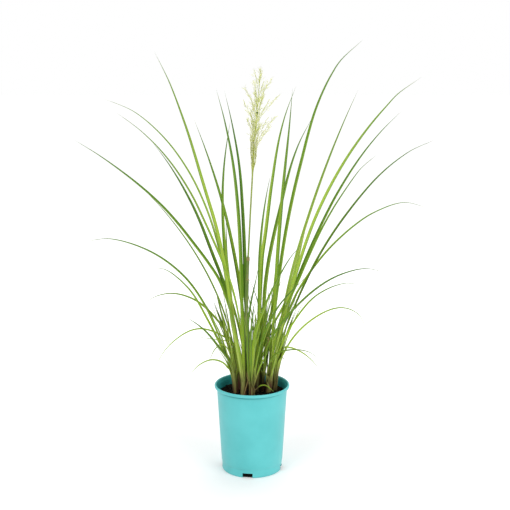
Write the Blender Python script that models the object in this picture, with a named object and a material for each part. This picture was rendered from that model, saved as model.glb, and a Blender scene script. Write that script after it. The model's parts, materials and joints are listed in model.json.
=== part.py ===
"""A clump of ornamental grass with one flower plume, in its nursery pot.

Metres, +Z up. The pot stands on the plane z = 0 with its axis on Z, and the clump's best side faces -Y.
"""

import math

import bmesh
import bpy
import numpy as np
from mathutils import Vector
from mathutils.geometry import interpolate_bezier

MM = 0.001
GAP = 0.0003  # left open between pieces that touch

# The pot: a tapered, thin-walled container of about three litres
POT_RIM_DIAMETER = 0.171
POT_HEIGHT = 0.2015
POT_FOOT_DIAMETER = 0.138
POT_NECK_DIAMETER = 0.1605  # just under the rolled rim
POT_WALL = 0.0018
POT_FLOOR = 0.0025
POT_SIDES = 48
RIM_ROLL = 0.0038  # half the thickness of the rolled rim
FOOT_ROUNDING = 0.003
STEP_HEIGHT = 0.022  # a faint moulded step runs round the pot here
STEP_DEPTH = 0.0004

# The drainage notches where the wall meets the floor
NOTCH_COUNT = 4
NOTCH_WIDTH = 0.023
NOTCH_HEIGHT = 0.011
NOTCH_DEPTH = 0.006
NOTCH_TURN = math.radians(-98.5)

# The soil
SOIL_TOP = 0.183
SOIL_DIP = 0.0025  # how much lower the soil lies along the wall

# The clump: every leaf is drawn as it shows, seen from EYE, on the upright plane through the pot's axis
EYE = Vector((0.007, -2.2, 0.944))
GROUND = SOIL_TOP + GAP
STATIONS = 17  # points along a leaf, from its foot to its tip
TIP_CROWDING = 1.25  # the stations stand closer together towards the tip, where a leaf bends most
LEAN_POWER = 1.6  # a leaf keeps near its foot's depth at first and leans more and more towards its tip
RING_RADIUS = 7.5 * MM  # how far from the middle of a shoot its leaves stand
FOOT_WIDTH_SHARE = 0.44  # a blade is this share of its full width at its foot
WIDENING = 1.5  # and widens by this share of it over its whole length, till it is full
TAPER_START = 0.35  # the share of its length from which a blade narrows to its point
TAPER_POWER = 2.2
THINNEST_TIP = 0.5 * MM  # half the width of a blade just before its point
FOLD_ANGLES = ((0, 52), (0.3, 28), (0.8, 24), (1, 30))  # share of the length, degrees each half is raised
LEAST_TURN = math.radians(22)  # a blade shows its side to EYE by an angle between these two,
MOST_TURN = math.radians(38)  # so it looks about as wide from any side of the clump
BLADE_THICKNESS = 0.10  # half the midrib's thickness, as a share of the half width
THINNEST = 0.13 * MM
CLEARANCE = 0.0007
SPREAD_STEPS = 800  # at most; the leaves are mostly clear of each other well before
EASING = (0.08, 0.3, 0.62, 0.3, 0.08)  # how much a leaf's stations follow one that is moved

# Each shoot is a tight bunch of leaf sheaths: foot x, y, then top x, y, z and half width, in millimetres
SHOOTS = {
    "a": (-36, -8, -49, -14, 270, 4.8),
    "c": (-1, -29, -1, -36, 280, 4.8),
    "d": (23, 11, 27, 5, 262, 4.0),
    "e": (36, 33, 52, 40, 290, 4.6),
    "f": (50, 16, 64, 20, 285, 4.6),
    "g": (-32, 19, -45, 26, 280, 4.6),
    "h": (-9, 15, -13, 20, 290, 4.6),
    "i": (8, 3, 12, 1, 290, 4.6),
    "j": (12, 34, 15, 44, 285, 4.4),
    "k": (38, -2, 50, -7, 275, 4.4),
}

# The flower stem stands in a ring of leaves of its own: x, z as shown, and half thickness, in millimetres
STEM_FOOT = (-20, -27)
STEM_TOP_DEPTH = -12
STEM_LINE = ((-17, 250), (-14, 350), (-10, 450), (-6, 550), (0, 650), (2, 690))
STEM_HALF_WIDTHS = (  # the sheath round the stem ends between 499 and 503
    (183, 4.8), (300, 4.2), (440, 3.9), (499, 3.6), (503, 2.6), (600, 2.5), (690, 2.2),
)

# The plume: x, z as shown and half thickness of its dense middle, then the tips of its branches
PLUME_TIP_DEPTH = -20
PLUME_LINE = ((3, 700), (5, 750), (9, 790), (13, 830), (16, 870), (18, 912))
PLUME_HALF_WIDTHS = (
    (690, 2.2), (703, 3.6), (722, 5.8), (750, 7.6), (790, 8.0), (830, 6.6), (870, 4.4), (900, 1.8),
)
PLUME_BRANCHES = (  # x, z and depth of a tip, and how far below it the branch leaves the middle
    (42, 885, -26, 62),
    (57, 850, -10, 66),
    (37, 840, -44, 60),
    (52, 806, 0, 58),
    (40, 785, -34, 52),
    (33, 800, 18, 55),
    (6, 903, -2, 48),
    (5, 880, -46, 52),
    (-15, 866, -18, 62),
    (-3, 850, 22, 56),
    (-18, 837, -36, 60),
    (-9, 800, -10, 50),
    (28, 868, 14, 55),
    (20, 826, -56, 58),
    (14, 815, 32, 56),
    (22, 770, -38, 44),
    (-4, 768, 8, 42),
)

# Each leaf: its shoot, where it stands in the ring round it (degrees, 0 is right and 90 is back),
# its width, its tone, the depth of its tip, and the points it runs through as shown, from foot to tip,
# in millimetres
LEAVES = (
    ("a", 270, 9.2, "mid", -60,
     ((-58, 400), (-75, 445), (-117, 508), (-200, 612), (-300, 698), (-390, 758))),
    ("g", 270, 5.8, "mid", 80,
     ((-50, 320), (-75, 400), (-100, 456), (-150, 541), (-235, 645))),
    ("a", 135, 7.2, "mid", -140,
     ((-60, 270), (-77, 316), (-100, 372), (-150, 449), (-250, 519), (-330, 537), (-368, 531))),
    ("g", 225, 7.4, "bright", -30,
     ((-50, 245), (-75, 298), (-100, 350), (-150, 432), (-200, 469), (-226, 472))),
    ("g", 135, 7.6, "mid", 140,
     ((-50, 305), (-87, 360), (-125, 395), (-188, 412), (-243, 389))),
    ("a", 225, 8.2, "dark", -110,
     ((-54, 256), (-76, 287), (-108, 327), (-150, 358))),
    ("g", 195, 5.6, "bright", -40,
     ((-45, 298), (-65, 312), (-119, 330), (-178, 300), (-217, 245))),
    ("a", 180, 5.6, "mid", -70,
     ((-50, 228), (-65, 249), (-90, 257), (-112, 250), (-139, 223))),
    ("stem", 190, 11.0, "bright", -50,
     ((-31, 240), (-39, 300), (-55, 420), (-77, 550), (-105, 650), (-149, 800), (-185, 896), (-209, 945))),
    ("g", 90, 7.0, "bright", 170,
     ((-70, 500), (-99, 600), (-136, 682), (-200, 770), (-250, 813), (-322, 845))),
    ("stem", 235, 7.0, "mid", -235,
     ((-26, 320), (-33, 373), (-48, 435), (-66, 484), (-97, 557), (-136, 641), (-200, 734), (-295, 816))),
    ("g", 40, 11.4, "dark", 255,
     ((-66, 440), (-88, 500), (-126, 600), (-180, 700), (-218, 753))),
    ("h", 185, 10.6, "mid", 230,
     ((-25, 400), (-40, 500), (-61, 600), (-100, 731), (-126, 802))),
    ("stem", 95, 9.8, "mid", 150,
     ((-50, 390), (-60, 500), (-65, 600), (-61, 700), (-53, 760), (-46, 801))),
    ("stem", 320, 9.8, "mid", -270,
     ((-24, 400), (-26, 500), (-31, 600), (-41, 700), (-60, 800), (-77, 866))),
    ("h", 290, 10.4, "dark", 170,
     ((-15, 400), (-17, 500), (-21, 600), (-28, 700), (-45, 800), (-59, 861))),
    ("i", 215, 8.6, "mid", -195,
     ((15, 330), (17, 400), (18, 500), (27, 600), (41, 680))),
    ("j", 250, 10.8, "bright", 270,
     ((20, 420), (24, 500), (31, 550), (43, 650), (70, 800), (96, 873))),
    ("k", 150, 9.8, "mid", -280,
     ((44, 290), (50, 350), (58, 500), (69, 650), (83, 800), (88, 867))),
    ("d", 90, 10.8, "mid", -215,
     ((18, 280), (25, 350), (33, 450), (62, 600), (104, 750), (132, 806))),
    ("k", 60, 11.0, "mid", -105,
     ((54, 380), (62, 450), (76, 550), (107, 700), (154, 860), (181, 911), (208, 945), (240, 971))),
    ("e", 130, 10.2, "bright", 185,
     ((60, 320), (75, 390), (88, 450), (130, 600), (182, 750), (230, 865))),
    ("f", 250, 10.2, "bright", -125,
     ((64, 310), (82, 390), (98, 450), (148, 600), (230, 750), (292, 829), (327, 865), (366, 891))),
    ("e", 30, 9.6, "mid", 220,
     ((66, 320), (86, 395), (105, 450), (146, 550), (195, 650), (261, 750), (328, 822))),
    ("k", 350, 7.2, "mid", -205,
     ((58, 330), (100, 430), (129, 500), (151, 550), (208, 650), (245, 700), (276, 726))),
    ("f", 30, 7.6, "dark", 50,
     ((62, 280), (84, 350), (104, 400), (151, 500), (215, 600), (303, 700), (350, 734), (402, 757))),
    ("f", 80, 7.2, "mid", 160,
     ((70, 330), (95, 400), (130, 460), (200, 543), (278, 600), (338, 618), (388, 606))),
    ("k", 300, 7.0, "dark", -185,
     ((41, 300), (62, 336), (90, 370), (119, 401), (200, 456), (255, 469), (296, 461))),
    ("f", 310, 6.4, "bright", -140,
     ((58, 260), (76, 310), (100, 354), (150, 411), (220, 436), (239, 434))),
    ("f", 350, 6.2, "bright", -30,
     ((55, 225), (63, 249), (100, 317), (150, 361), (178, 375), (205, 379), (230, 371), (257, 334))),
    ("k", 250, 5.0, "dark", -60,
     ((37, 236), (44, 258), (57, 272), (78, 279), (102, 281), (130, 275), (150, 261))),
    ("e", 80, 5.8, "bright", 105,
     ((49, 260), (58, 278), (73, 286), (90, 285), (105, 279), (134, 258), (153, 234))),
    ("c", 20, 7.8, "mid", -230,
     ((12, 330), (24, 367), (41, 409), (63, 454), (88, 497), (112, 525))),
    ("d", 340, 6.8, "dark", -170,
     ((25, 305), (40, 345), (63, 386), (100, 429), (122, 451))),
    ("i", 300, 5.6, "dark", -20,
     ((17, 300), (16, 350), (12, 395), (5, 418), (-9, 450))),
    ("c", 240, 7.0, "dark", -220,
     ((-9, 300), (-8, 345), (-2, 390), (9, 443), (15, 475))),
    ("c", 300, 5.8, "dark", -170,
     ((-2, 300), (0, 350), (2, 367), (10, 402))),
    ("c", 350, 4.0, "bright", -52,
     ((13, 190), (22, 196), (31, 196), (40, 190), (50, 181))),
    ("j", 330, 7.4, "dark", 45,
     ((18, 260), (26, 310), (30, 352))),
    ("g", 330, 8.2, "bright", 70,
     ((-50, 430), (-56, 500), (-57, 540), (-57, 592))),
    ("e", 200, 7.0, "dark", 195,
     ((42, 350), (45, 400), (43, 430))),
    ("j", 60, 8.2, "bright", 320,
     ((30, 300), (75, 390), (126, 590), (163, 700), (172, 722))),
    ("h", 130, 7.4, "mid", 335,
     ((-45, 390), (-86, 496), (-124, 598), (-160, 668))),
    ("j", 160, 8.6, "mid", 345,
     ((-18, 420), (-27, 520), (-33, 630), (-38, 690))),
    ("j", 20, 8.0, "mid", 355,
     ((46, 380), (58, 500), (68, 640), (76, 715))),
)

COLOURS = {  # colour, roughness
    "pot": ((0.13, 0.61, 0.62), 0.42),
    "soil": ((0.022, 0.013, 0.008), 0.95),
    "shoot": ((0.17, 0.11, 0.055), 0.6),
    "stem": ((0.22, 0.27, 0.08), 0.55),
    "plume": ((0.72, 0.68, 0.38), 0.9),
    "bright": ((0.27, 0.42, 0.05), 0.5),
    "mid": ((0.15, 0.29, 0.035), 0.5),
    "dark": ((0.06, 0.16, 0.02), 0.5),
}


def clear_scene():
    for thing in list(bpy.data.objects):
        bpy.data.objects.remove(thing, do_unlink=True)


def material(finish):
    """The finish of this name, made once and shared by the pieces that have it."""
    made = bpy.data.materials.get(finish)
    if made:
        return made
    colour, roughness = COLOURS[finish]
    made = bpy.data.materials.new(finish)
    made.use_nodes = True
    shader = made.node_tree.nodes["Principled BSDF"]
    shader.inputs["Base Color"].default_value = (*colour, 1.0)
    shader.inputs["Roughness"].default_value = roughness
    shader.inputs["Metallic"].default_value = 0.0
    return made


def add_object(name, bm, finish):
    bmesh.ops.recalc_face_normals(bm, faces=bm.faces)
    mesh = bpy.data.meshes.new(name)
    bm.to_mesh(mesh)
    bm.free()
    mesh.shade_smooth()
    mesh.set_sharp_from_angle(angle=math.radians(40))
    mesh.materials.append(material(finish))
    piece = bpy.data.objects.new(name, mesh)
    bpy.context.scene.collection.objects.link(piece)
    return piece


# Pot and soil


def turned(profile):
    """A solid spun from a profile of (radius, height) points that starts and ends on the axis."""
    bm = bmesh.new()
    points = [bm.verts.new((radius, 0.0, height)) for radius, height in profile]
    edges = [bm.edges.new(pair) for pair in zip(points, points[1:])]
    bmesh.ops.spin(
        bm,
        geom=points + edges,
        axis=(0, 0, 1),
        cent=(0, 0, 0),
        angle=math.tau,
        steps=POT_SIDES,
        use_merge=True,
    )
    bmesh.ops.remove_doubles(bm, verts=bm.verts, dist=1e-6)
    return bm


def arc(centre, radius, start, end, count):
    """Points on an arc in the profile's plane, between two angles in degrees."""
    angles = (math.radians(start + (end - start) * i / (count - 1)) for i in range(count))
    return [(centre[0] + radius * math.cos(a), centre[1] + radius * math.sin(a)) for a in angles]


def wall_radius(height):
    """The outside of the tapered wall."""
    foot = POT_FOOT_DIAMETER / 2
    neck = POT_NECK_DIAMETER / 2
    share = (height - FOOT_ROUNDING) / (POT_HEIGHT - 2 * RIM_ROLL - FOOT_ROUNDING)
    return foot + (neck - foot) * share


def make_pot():
    foot = POT_FOOT_DIAMETER / 2
    roll_centre = (POT_RIM_DIAMETER / 2 - RIM_ROLL, POT_HEIGHT - RIM_ROLL)
    neck_height = POT_HEIGHT - 2 * RIM_ROLL
    inner_neck = wall_radius(neck_height) - POT_WALL
    inner_foot = wall_radius(POT_FLOOR + FOOT_ROUNDING) - POT_WALL
    profile = [(0.0, 0.0)]
    profile += arc((foot - FOOT_ROUNDING, FOOT_ROUNDING), FOOT_ROUNDING, -90, 0, 3)
    profile.append((wall_radius(STEP_HEIGHT) - STEP_DEPTH, STEP_HEIGHT - 0.001))
    profile.append((wall_radius(STEP_HEIGHT), STEP_HEIGHT + 0.001))
    profile.append((wall_radius(neck_height) - 0.0002, neck_height - 0.002))
    profile += arc(roll_centre, RIM_ROLL, -120, 150, 8)
    profile.append((inner_neck, neck_height - 0.001))
    profile.append((inner_foot, POT_FLOOR + FOOT_ROUNDING))
    profile.append((inner_foot - FOOT_ROUNDING, POT_FLOOR))
    profile.append((0.0, POT_FLOOR))
    pot = add_object("pot", turned(profile), "pot")
    for i in range(NOTCH_COUNT):
        cut_notch(pot, NOTCH_TURN + i * math.tau / NOTCH_COUNT)


def cut_notch(pot, turn):
    """One drainage notch: a box cut where the wall meets the floor."""
    bm = bmesh.new()
    bmesh.ops.create_cube(bm, size=1.0)
    bmesh.ops.scale(bm, vec=(2 * NOTCH_DEPTH, NOTCH_WIDTH, 2 * NOTCH_HEIGHT), verts=bm.verts)
    cutter = add_object("notch_cutter", bm, "pot")
    reach = POT_FOOT_DIAMETER / 2
    cutter.location = (reach * math.cos(turn), reach * math.sin(turn), 0.0)
    cutter.rotation_euler = (0.0, 0.0, turn)
    cutter.hide_render = True
    cutter.display_type = "WIRE"
    cut = pot.modifiers.new("drainage notch", "BOOLEAN")
    cut.operation = "DIFFERENCE"
    cut.solver = "EXACT"
    cut.object = cutter


def make_soil():
    """The soil fills the pot with a small gap all round and lies a little lower along the wall."""
    low = POT_FLOOR + GAP
    inner_foot = wall_radius(POT_FLOOR + FOOT_ROUNDING) - POT_WALL
    edge = SOIL_TOP - SOIL_DIP
    profile = (
        (0.0, low),
        (inner_foot - FOOT_ROUNDING - GAP, low),
        (inner_foot - GAP, low + FOOT_ROUNDING + GAP),
        (wall_radius(edge) - POT_WALL - 2 * GAP, edge),
        (0.062, SOIL_TOP),
        (0.0, SOIL_TOP),
    )
    add_object("soil", turned(profile), "soil")


# Lines in space


def at_depth(x, z, depth):
    """The point at this depth that shows at (x, z) on the plane y = 0, seen from EYE."""
    reach = (depth - EYE.y) / -EYE.y
    return Vector((EYE.x + (x - EYE.x) * reach, depth, EYE.z + (z - EYE.z) * reach))


def as_shown(point):
    """Where a point shows on the plane y = 0, seen from EYE."""
    reach = (point.y - EYE.y) / -EYE.y
    return Vector((EYE.x + (point.x - EYE.x) / reach, 0.0, EYE.z + (point.z - EYE.z) / reach))


def length_shares(count):
    """The share of a leaf's length at each of its stations."""
    return 1 - (1 - np.linspace(0, 1, count)) ** TIP_CROWDING


def smooth_line(points, count, crowding=1.0):
    """Points along one smooth curve through the given ones, closer towards its end as crowding grows."""
    chords = [b - a for a, b in zip(points, points[1:])]
    ways = []
    for a, b in zip(chords, chords[1:]):
        ways.append((a.normalized() * b.length + b.normalized() * a.length).normalized())
    ways.insert(0, (chords[0].normalized() * 2 - ways[0]).normalized())
    ways.append((chords[-1].normalized() * 2 - ways[-1]).normalized())
    fine = [points[0]]
    for i, chord in enumerate(chords):
        start, end = points[i], points[i + 1]
        pull = chord.length / 3
        fine += interpolate_bezier(start, start + ways[i] * pull, end - ways[i + 1] * pull, end, 12)[1:]
    fine = np.array(fine)
    along = np.concatenate([[0], np.cumsum(np.linalg.norm(np.diff(fine, axis=0), axis=1))])
    wanted = along[-1] * (1 - (1 - np.linspace(0, 1, count)) ** crowding)
    return np.stack([np.interp(wanted, along, fine[:, i]) for i in range(3)], axis=1)


def leaning_line(foot, shown_points, tip_depth, count):
    """The shown line of a leaf or stem and the depth at each of its points."""
    line = [as_shown(foot)] + [Vector((x * MM, 0.0, z * MM)) for x, z in shown_points]
    shown = smooth_line(line, count, TIP_CROWDING)
    depth = foot.y + (tip_depth * MM - foot.y) * length_shares(count) ** LEAN_POWER
    return shown, depth


def swung(shown, depth):
    return np.array([at_depth(x, z, y) for (x, _, z), y in zip(shown, depth)])


def half_width_at(table, height):
    """The half thickness at a height, read from a table of (height, half thickness) in millimetres."""
    heights, widths = zip(*table)
    return float(np.interp(height / MM, heights, widths)) * MM


def stem_line():
    foot = Vector((STEM_FOOT[0] * MM, STEM_FOOT[1] * MM, GROUND))
    return swung(*leaning_line(foot, STEM_LINE, STEM_TOP_DEPTH, 24))


def shoot_line(shoot):
    foot_x, foot_y, top_x, top_y, top_z, _ = SHOOTS[shoot]
    foot = Vector((foot_x * MM, foot_y * MM, GROUND))
    top = Vector((top_x, top_y, top_z)) * MM
    bend = foot.lerp(top, 0.5)
    bend.z += 8 * MM
    return smooth_line([foot, bend, top], 5)


# Leaves


class Leaf:
    """One blade: the line it shows from the front, its depth along that line, and its half width."""

    def __init__(self, row):
        shoot, turn, width, self.tone, tip_depth, points = row
        centre = STEM_FOOT if shoot == "stem" else SHOOTS[shoot][:2]
        turn = math.radians(turn)
        foot = Vector((centre[0] * MM, centre[1] * MM, GROUND))
        foot.x += RING_RADIUS * math.cos(turn)
        foot.y += RING_RADIUS * math.sin(turn)
        self.shown, self.depth = leaning_line(foot, points, tip_depth, STATIONS)
        self.behind = 1 if tip_depth * MM > foot.y else -1
        share = length_shares(STATIONS)
        swell = np.minimum(1, FOOT_WIDTH_SHARE + WIDENING * share)
        taper = 1 - np.clip((share - TAPER_START) / (1 - TAPER_START), 0, 1) ** TAPER_POWER
        self.half_width = np.maximum(width * MM / 2 * swell * taper, THINNEST_TIP)
        self.fold = np.radians(np.interp(share, *zip(*FOLD_ANGLES)))

    def line(self):
        line = swung(self.shown, self.depth)
        line[0, 2] = GROUND
        return line

    def rings(self):
        """Four corners at each station: edge, groove, edge and keel of the folded blade."""
        line = [Vector(p) for p in self.line()]
        heading = line[-1] - line[0]
        heading.z = 0.0
        across = Vector((0, 0, 1)).cross(heading.normalized())
        frames = []
        for i, point in enumerate(line[:-1]):
            along = (line[i + 1] - line[max(i - 1, 0)]).normalized()
            facing = ((EYE - point) * self.behind).cross(along).normalized()
            frames.append((along, facing, along.cross(facing)))
        _, _, sideways = frames[STATIONS // 2]
        hand = math.copysign(1, across.dot(sideways))
        rings = []
        for i, (point, (along, facing, sideways)) in enumerate(zip(line, frames)):
            turn = math.atan2(hand * across.dot(sideways), across.dot(facing))
            turn = hand * min(max(turn, LEAST_TURN), MOST_TURN)
            width_way = facing * math.cos(turn) + sideways * math.sin(turn)
            up_way = along.cross(width_way)
            half = self.half_width[i]
            out = width_way * half * math.cos(self.fold[i])
            lift = up_way * half * math.sin(self.fold[i])
            thick = up_way * (BLADE_THICKNESS * half + THINNEST)
            if i == 0:
                point = point + Vector((0, 0, half))
            rings.append((point + out + lift, point + thick, point - out + lift, point - thick))
        return rings, line[-1]


def nearest_on_segments(a, b, c, d):
    """For rows of segments a to b and c to d, the share along each where they come closest."""
    u, v, w = b - a, d - c, a - c
    uu = (u * u).sum(1)
    vv = (v * v).sum(1)
    uv = (u * v).sum(1)
    uw = (u * w).sum(1)
    vw = (v * w).sum(1)
    slant = np.maximum(uu * vv - uv * uv, 1e-18)
    s = np.clip((uv * vw - vv * uw) / slant, 0, 1)
    t = np.clip((uv * s + vw) / vv, 0, 1)
    s = np.clip((uv * t - uw) / uu, 0, 1)
    return s, t


def obstacles():
    """The lines and half widths of the shoots and the flower stem, which stay where they are."""
    stem = stem_line()
    found = [(stem, np.array([half_width_at(STEM_HALF_WIDTHS, point[2]) for point in stem]))]
    for shoot in SHOOTS:
        line = shoot_line(shoot)
        half = SHOOTS[shoot][5] * MM
        found.append((line, np.linspace(half, 0.6 * half, len(line))))
    return found


def near_pairs(start, end, one, two, reach):
    """Of the pairs of segments, those that are near enough to come within reach of each other."""
    middle = (start + end) / 2
    half_length = np.linalg.norm(end - start, axis=1) / 2
    apart = np.linalg.norm(middle[one] - middle[two], axis=1)
    near = apart < half_length[one] + half_length[two] + reach
    return one[near], two[near]


def spread_in_depth(leaves):
    """Moves the leaves apart along the lines of sight, so that none touches another and the outline holds."""
    fixed = obstacles()
    sizes = [STATIONS] * len(leaves) + [len(line) for line, _ in fixed]
    owner = np.concatenate([np.full(n - 1, i) for i, n in enumerate(sizes)])
    first = np.concatenate([np.arange(n - 1) for n in sizes]) + owner * STATIONS
    every_one, every_two = np.triu_indices(len(owner), 1)
    moving = (owner[every_one] != owner[every_two]) & (owner[every_one] < len(leaves))
    every_one, every_two = every_one[moving], every_two[moving]
    halves = [leaf.half_width for leaf in leaves] + [half for _, half in fixed]
    half_start = np.concatenate([half[:-1] for half in halves])
    half_end = np.concatenate([half[1:] for half in halves])
    for step in range(SPREAD_STEPS):
        lines = [leaf.line() for leaf in leaves] + [line for line, _ in fixed]
        start = np.concatenate([line[:-1] for line in lines])
        end = np.concatenate([line[1:] for line in lines])
        if step % 20 == 0:
            one, two = near_pairs(start, end, every_one, every_two, 30 * MM)
        s, t = nearest_on_segments(start[one], end[one], start[two], end[two])
        here = start[one] + (end[one] - start[one]) * s[:, None]
        there = start[two] + (end[two] - start[two]) * t[:, None]
        wide = half_start[one] * (1 - s) + half_end[one] * s + half_start[two] * (1 - t) + half_end[two] * t
        short = wide + CLEARANCE - np.linalg.norm(here - there, axis=1)
        close = short > 0
        if not close.any() and step % 20 == 0:
            return
        both_move = owner[two] < len(leaves)
        push = np.where(here[:, 1] > there[:, 1], 1.0, -1.0) * short * np.where(both_move, 0.5, 1.0)
        station = np.concatenate([first[one], first[one] + 1, first[two], first[two] + 1])
        amount = np.concatenate([push * (1 - s), push * s, -push * (1 - t), -push * t])
        used = np.concatenate([close, close, close & both_move, close & both_move])
        order = np.argsort(np.abs(amount[used]), kind="stable")
        move = np.zeros(len(leaves) * STATIONS)
        move[station[used][order]] = amount[used][order]  # the largest push on a station counts
        for leaf, moved in zip(leaves, move.reshape(len(leaves), STATIONS)):
            leaf.depth = leaf.depth + np.convolve(moved, EASING, mode="same")


def swept(rings, tip=None):
    """A solid drawn through rings of corners by extruding its end face, closed flat or to a point."""
    bm = bmesh.new()
    corner = bm.verts.layers.int.new("corner")
    start = [bm.verts.new(place) for place in rings[0]]
    for i, vert in enumerate(start):
        vert[corner] = i
    end = bm.faces.new(start)
    for ring in rings[1:]:
        end = bmesh.ops.extrude_discrete_faces(bm, faces=[end])["faces"][0]
        for vert in end.verts:
            vert.co = ring[vert[corner]]
    bm.faces.new(start[::-1])
    if tip is not None:
        bmesh.ops.pointmerge(bm, verts=list(end.verts), merge_co=tip)
    return bm


def round_rings(line, half_widths, sides, flute=0.0):
    """Rings of corners round a rising line; flute draws every other corner in."""
    rings = []
    for point, half in zip(line, half_widths):
        ring = []
        for i in range(sides):
            turn = math.tau * i / sides
            reach = half * (1 - flute * (i % 2))
            ring.append(Vector(point) + Vector((reach * math.cos(turn), reach * math.sin(turn), 0.0)))
        rings.append(ring)
    return rings


def make_shoots():
    for i, shoot in enumerate(SHOOTS):
        line = shoot_line(shoot)
        half = SHOOTS[shoot][5] * MM
        widths = np.linspace(half, 0.55 * half, len(line))
        add_object(f"shoot_{i + 1:02d}", swept(round_rings(line, widths, 10, flute=0.16)), "shoot")


def make_flower_stem():
    line = stem_line()
    heights = [height * MM for height, _ in STEM_HALF_WIDTHS]
    heights[0] = line[0][2]
    heights[-1] = line[-1][2]
    points = np.stack([np.interp(heights, line[:, 2], line[:, i]) for i in range(3)], axis=1)
    widths = [half * MM for _, half in STEM_HALF_WIDTHS]
    add_object("flower_stem", swept(round_rings(points, widths, 8)), "stem")
    return Vector(line[-1])


# The plume


def plume_line(foot):
    return swung(*leaning_line(foot, PLUME_LINE, PLUME_TIP_DEPTH, 30))


def add_branch(bm, face, tip):
    """Draws one side face of the plume's middle out to a pointed, rising branch."""
    centre = face.calc_center_median()
    middle = centre.lerp(tip, 0.5) + Vector((0, 0, 2.5 * MM))
    end = bmesh.ops.extrude_discrete_faces(bm, faces=[face])["faces"][0]
    for vert in end.verts:
        vert.co = middle + (vert.co - centre) * 0.5
    end = bmesh.ops.extrude_discrete_faces(bm, faces=[end])["faces"][0]
    bmesh.ops.pointmerge(bm, verts=list(end.verts), merge_co=tip)


def make_plume(stem_top):
    foot = stem_top + Vector((0, 0, GAP))
    line = plume_line(foot)
    heights = np.linspace(line[0][2], line[-1][2], 15)[:-1]
    points = np.stack([np.interp(heights, line[:, 2], line[:, i]) for i in range(3)], axis=1)
    widths = [half_width_at(PLUME_HALF_WIDTHS, z) for z in heights]
    bm = swept(round_rings(points, widths, 6), tip=Vector(line[-1]))
    bmesh.ops.recalc_face_normals(bm, faces=bm.faces)
    sides = [face for face in bm.faces if len(face.verts) == 4]
    for x, z, depth, drop in PLUME_BRANCHES:
        tip = at_depth(x * MM, z * MM, depth * MM)
        start = tip.z - drop * MM
        middle = Vector([np.interp(start, line[:, 2], line[:, i]) for i in range(3)])
        outward = (tip - middle).normalized()
        reach = middle + Vector((outward.x, outward.y, 0.0)).normalized() * 8 * MM
        side = min(sides, key=lambda face: (face.calc_center_median() - reach).length)
        sides.remove(side)
        add_branch(bm, side, tip)
    add_object("flower_plume", bm, "plume")


def make_leaves():
    leaves = [Leaf(row) for row in LEAVES]
    spread_in_depth(leaves)
    for i, leaf in enumerate(leaves):
        rings, tip = leaf.rings()
        add_object(f"leaf_{i + 1:02d}", swept(rings, tip=tip), leaf.tone)


clear_scene()
make_pot()
make_soil()
make_shoots()
make_plume(make_flower_stem())
make_leaves()
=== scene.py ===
"""A clump of ornamental grass with one flower plume in its nursery pot: the finished surfaces.

Metres, +Z up, in the frame of the solids. The pot stands on the plane z = 0 with its axis on Z, and the
clump's best side faces -Y.
"""

import json
import random
from math import atan2, copysign, cos, exp, hypot, pi, radians, sin, sqrt, tau

import bmesh
import bpy
import numpy as np
from mathutils import Matrix, Vector, noise


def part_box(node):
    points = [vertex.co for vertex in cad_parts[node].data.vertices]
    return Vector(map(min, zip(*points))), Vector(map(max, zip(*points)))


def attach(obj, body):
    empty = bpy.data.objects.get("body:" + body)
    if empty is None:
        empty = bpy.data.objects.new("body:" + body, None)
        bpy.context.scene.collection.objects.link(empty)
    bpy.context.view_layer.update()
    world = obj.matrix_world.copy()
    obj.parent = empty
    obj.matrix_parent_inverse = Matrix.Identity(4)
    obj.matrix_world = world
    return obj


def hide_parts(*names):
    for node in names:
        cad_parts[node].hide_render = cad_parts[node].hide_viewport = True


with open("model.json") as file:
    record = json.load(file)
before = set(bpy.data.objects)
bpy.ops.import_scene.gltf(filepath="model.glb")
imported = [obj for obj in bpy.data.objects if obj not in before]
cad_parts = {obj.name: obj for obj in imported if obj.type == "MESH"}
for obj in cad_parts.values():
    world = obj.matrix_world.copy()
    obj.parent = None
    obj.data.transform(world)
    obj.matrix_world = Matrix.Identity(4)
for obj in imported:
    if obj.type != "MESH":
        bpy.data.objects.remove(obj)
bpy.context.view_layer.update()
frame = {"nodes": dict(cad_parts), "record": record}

# The pot
# One thin-walled tub of teal polypropylene, moulded in one shot with its rolled rim, a faint step above
# the foot and four drainage notches where the wall meets the floor.

MM = 0.001
pot_low, pot_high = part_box("pot")
RIM_RADIUS = (pot_high.x - pot_low.x) / 2
POT_HEIGHT = pot_high.z
FOOT_RADIUS = 69 * MM
NECK_RADIUS = 80.25 * MM
WALL = 1.8 * MM
FLOOR = 2.5 * MM
UNDER_FLOOR = 0.9 * MM  # how far the floor stands clear of what the pot stands on
STANDING_RING = (52 * MM, 53 * MM)
ROLL = 3.8 * MM  # half the height of the rolled rim
ROLL_WIDTH = 2.3 * MM  # and half its width
NECK_HEIGHT = POT_HEIGHT - 2 * ROLL
FOOT_ROUNDING = 3 * MM
STEP_HEIGHT = 22 * MM
STEP_DEPTH = 0.8 * MM
NOTCHES = 4
NOTCH_TURN = radians(-98.5)
NOTCH_SIZE = (12 * MM, 23 * MM, 22 * MM)  # through the wall, along it, and twice the height
NOTCH_BACK = FOOT_RADIUS - NOTCH_SIZE[0] / 2
CREASE_DEPTH = 1.0 * MM  # of the groove that the wall has just under the roll


def turned(name, profile, steps):
    """A closed solid spun from a profile of (radius, height) points that starts and ends on the axis."""
    bm = bmesh.new()
    points = [bm.verts.new((radius, 0.0, height)) for radius, height in profile]
    edges = [bm.edges.new(pair) for pair in zip(points, points[1:])]
    bmesh.ops.spin(bm, geom=points + edges, axis=(0, 0, 1), angle=tau, steps=steps, use_merge=True)
    bmesh.ops.remove_doubles(bm, verts=bm.verts, dist=1e-6)
    bmesh.ops.recalc_face_normals(bm, faces=bm.faces)
    return finished(name, bm)


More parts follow.
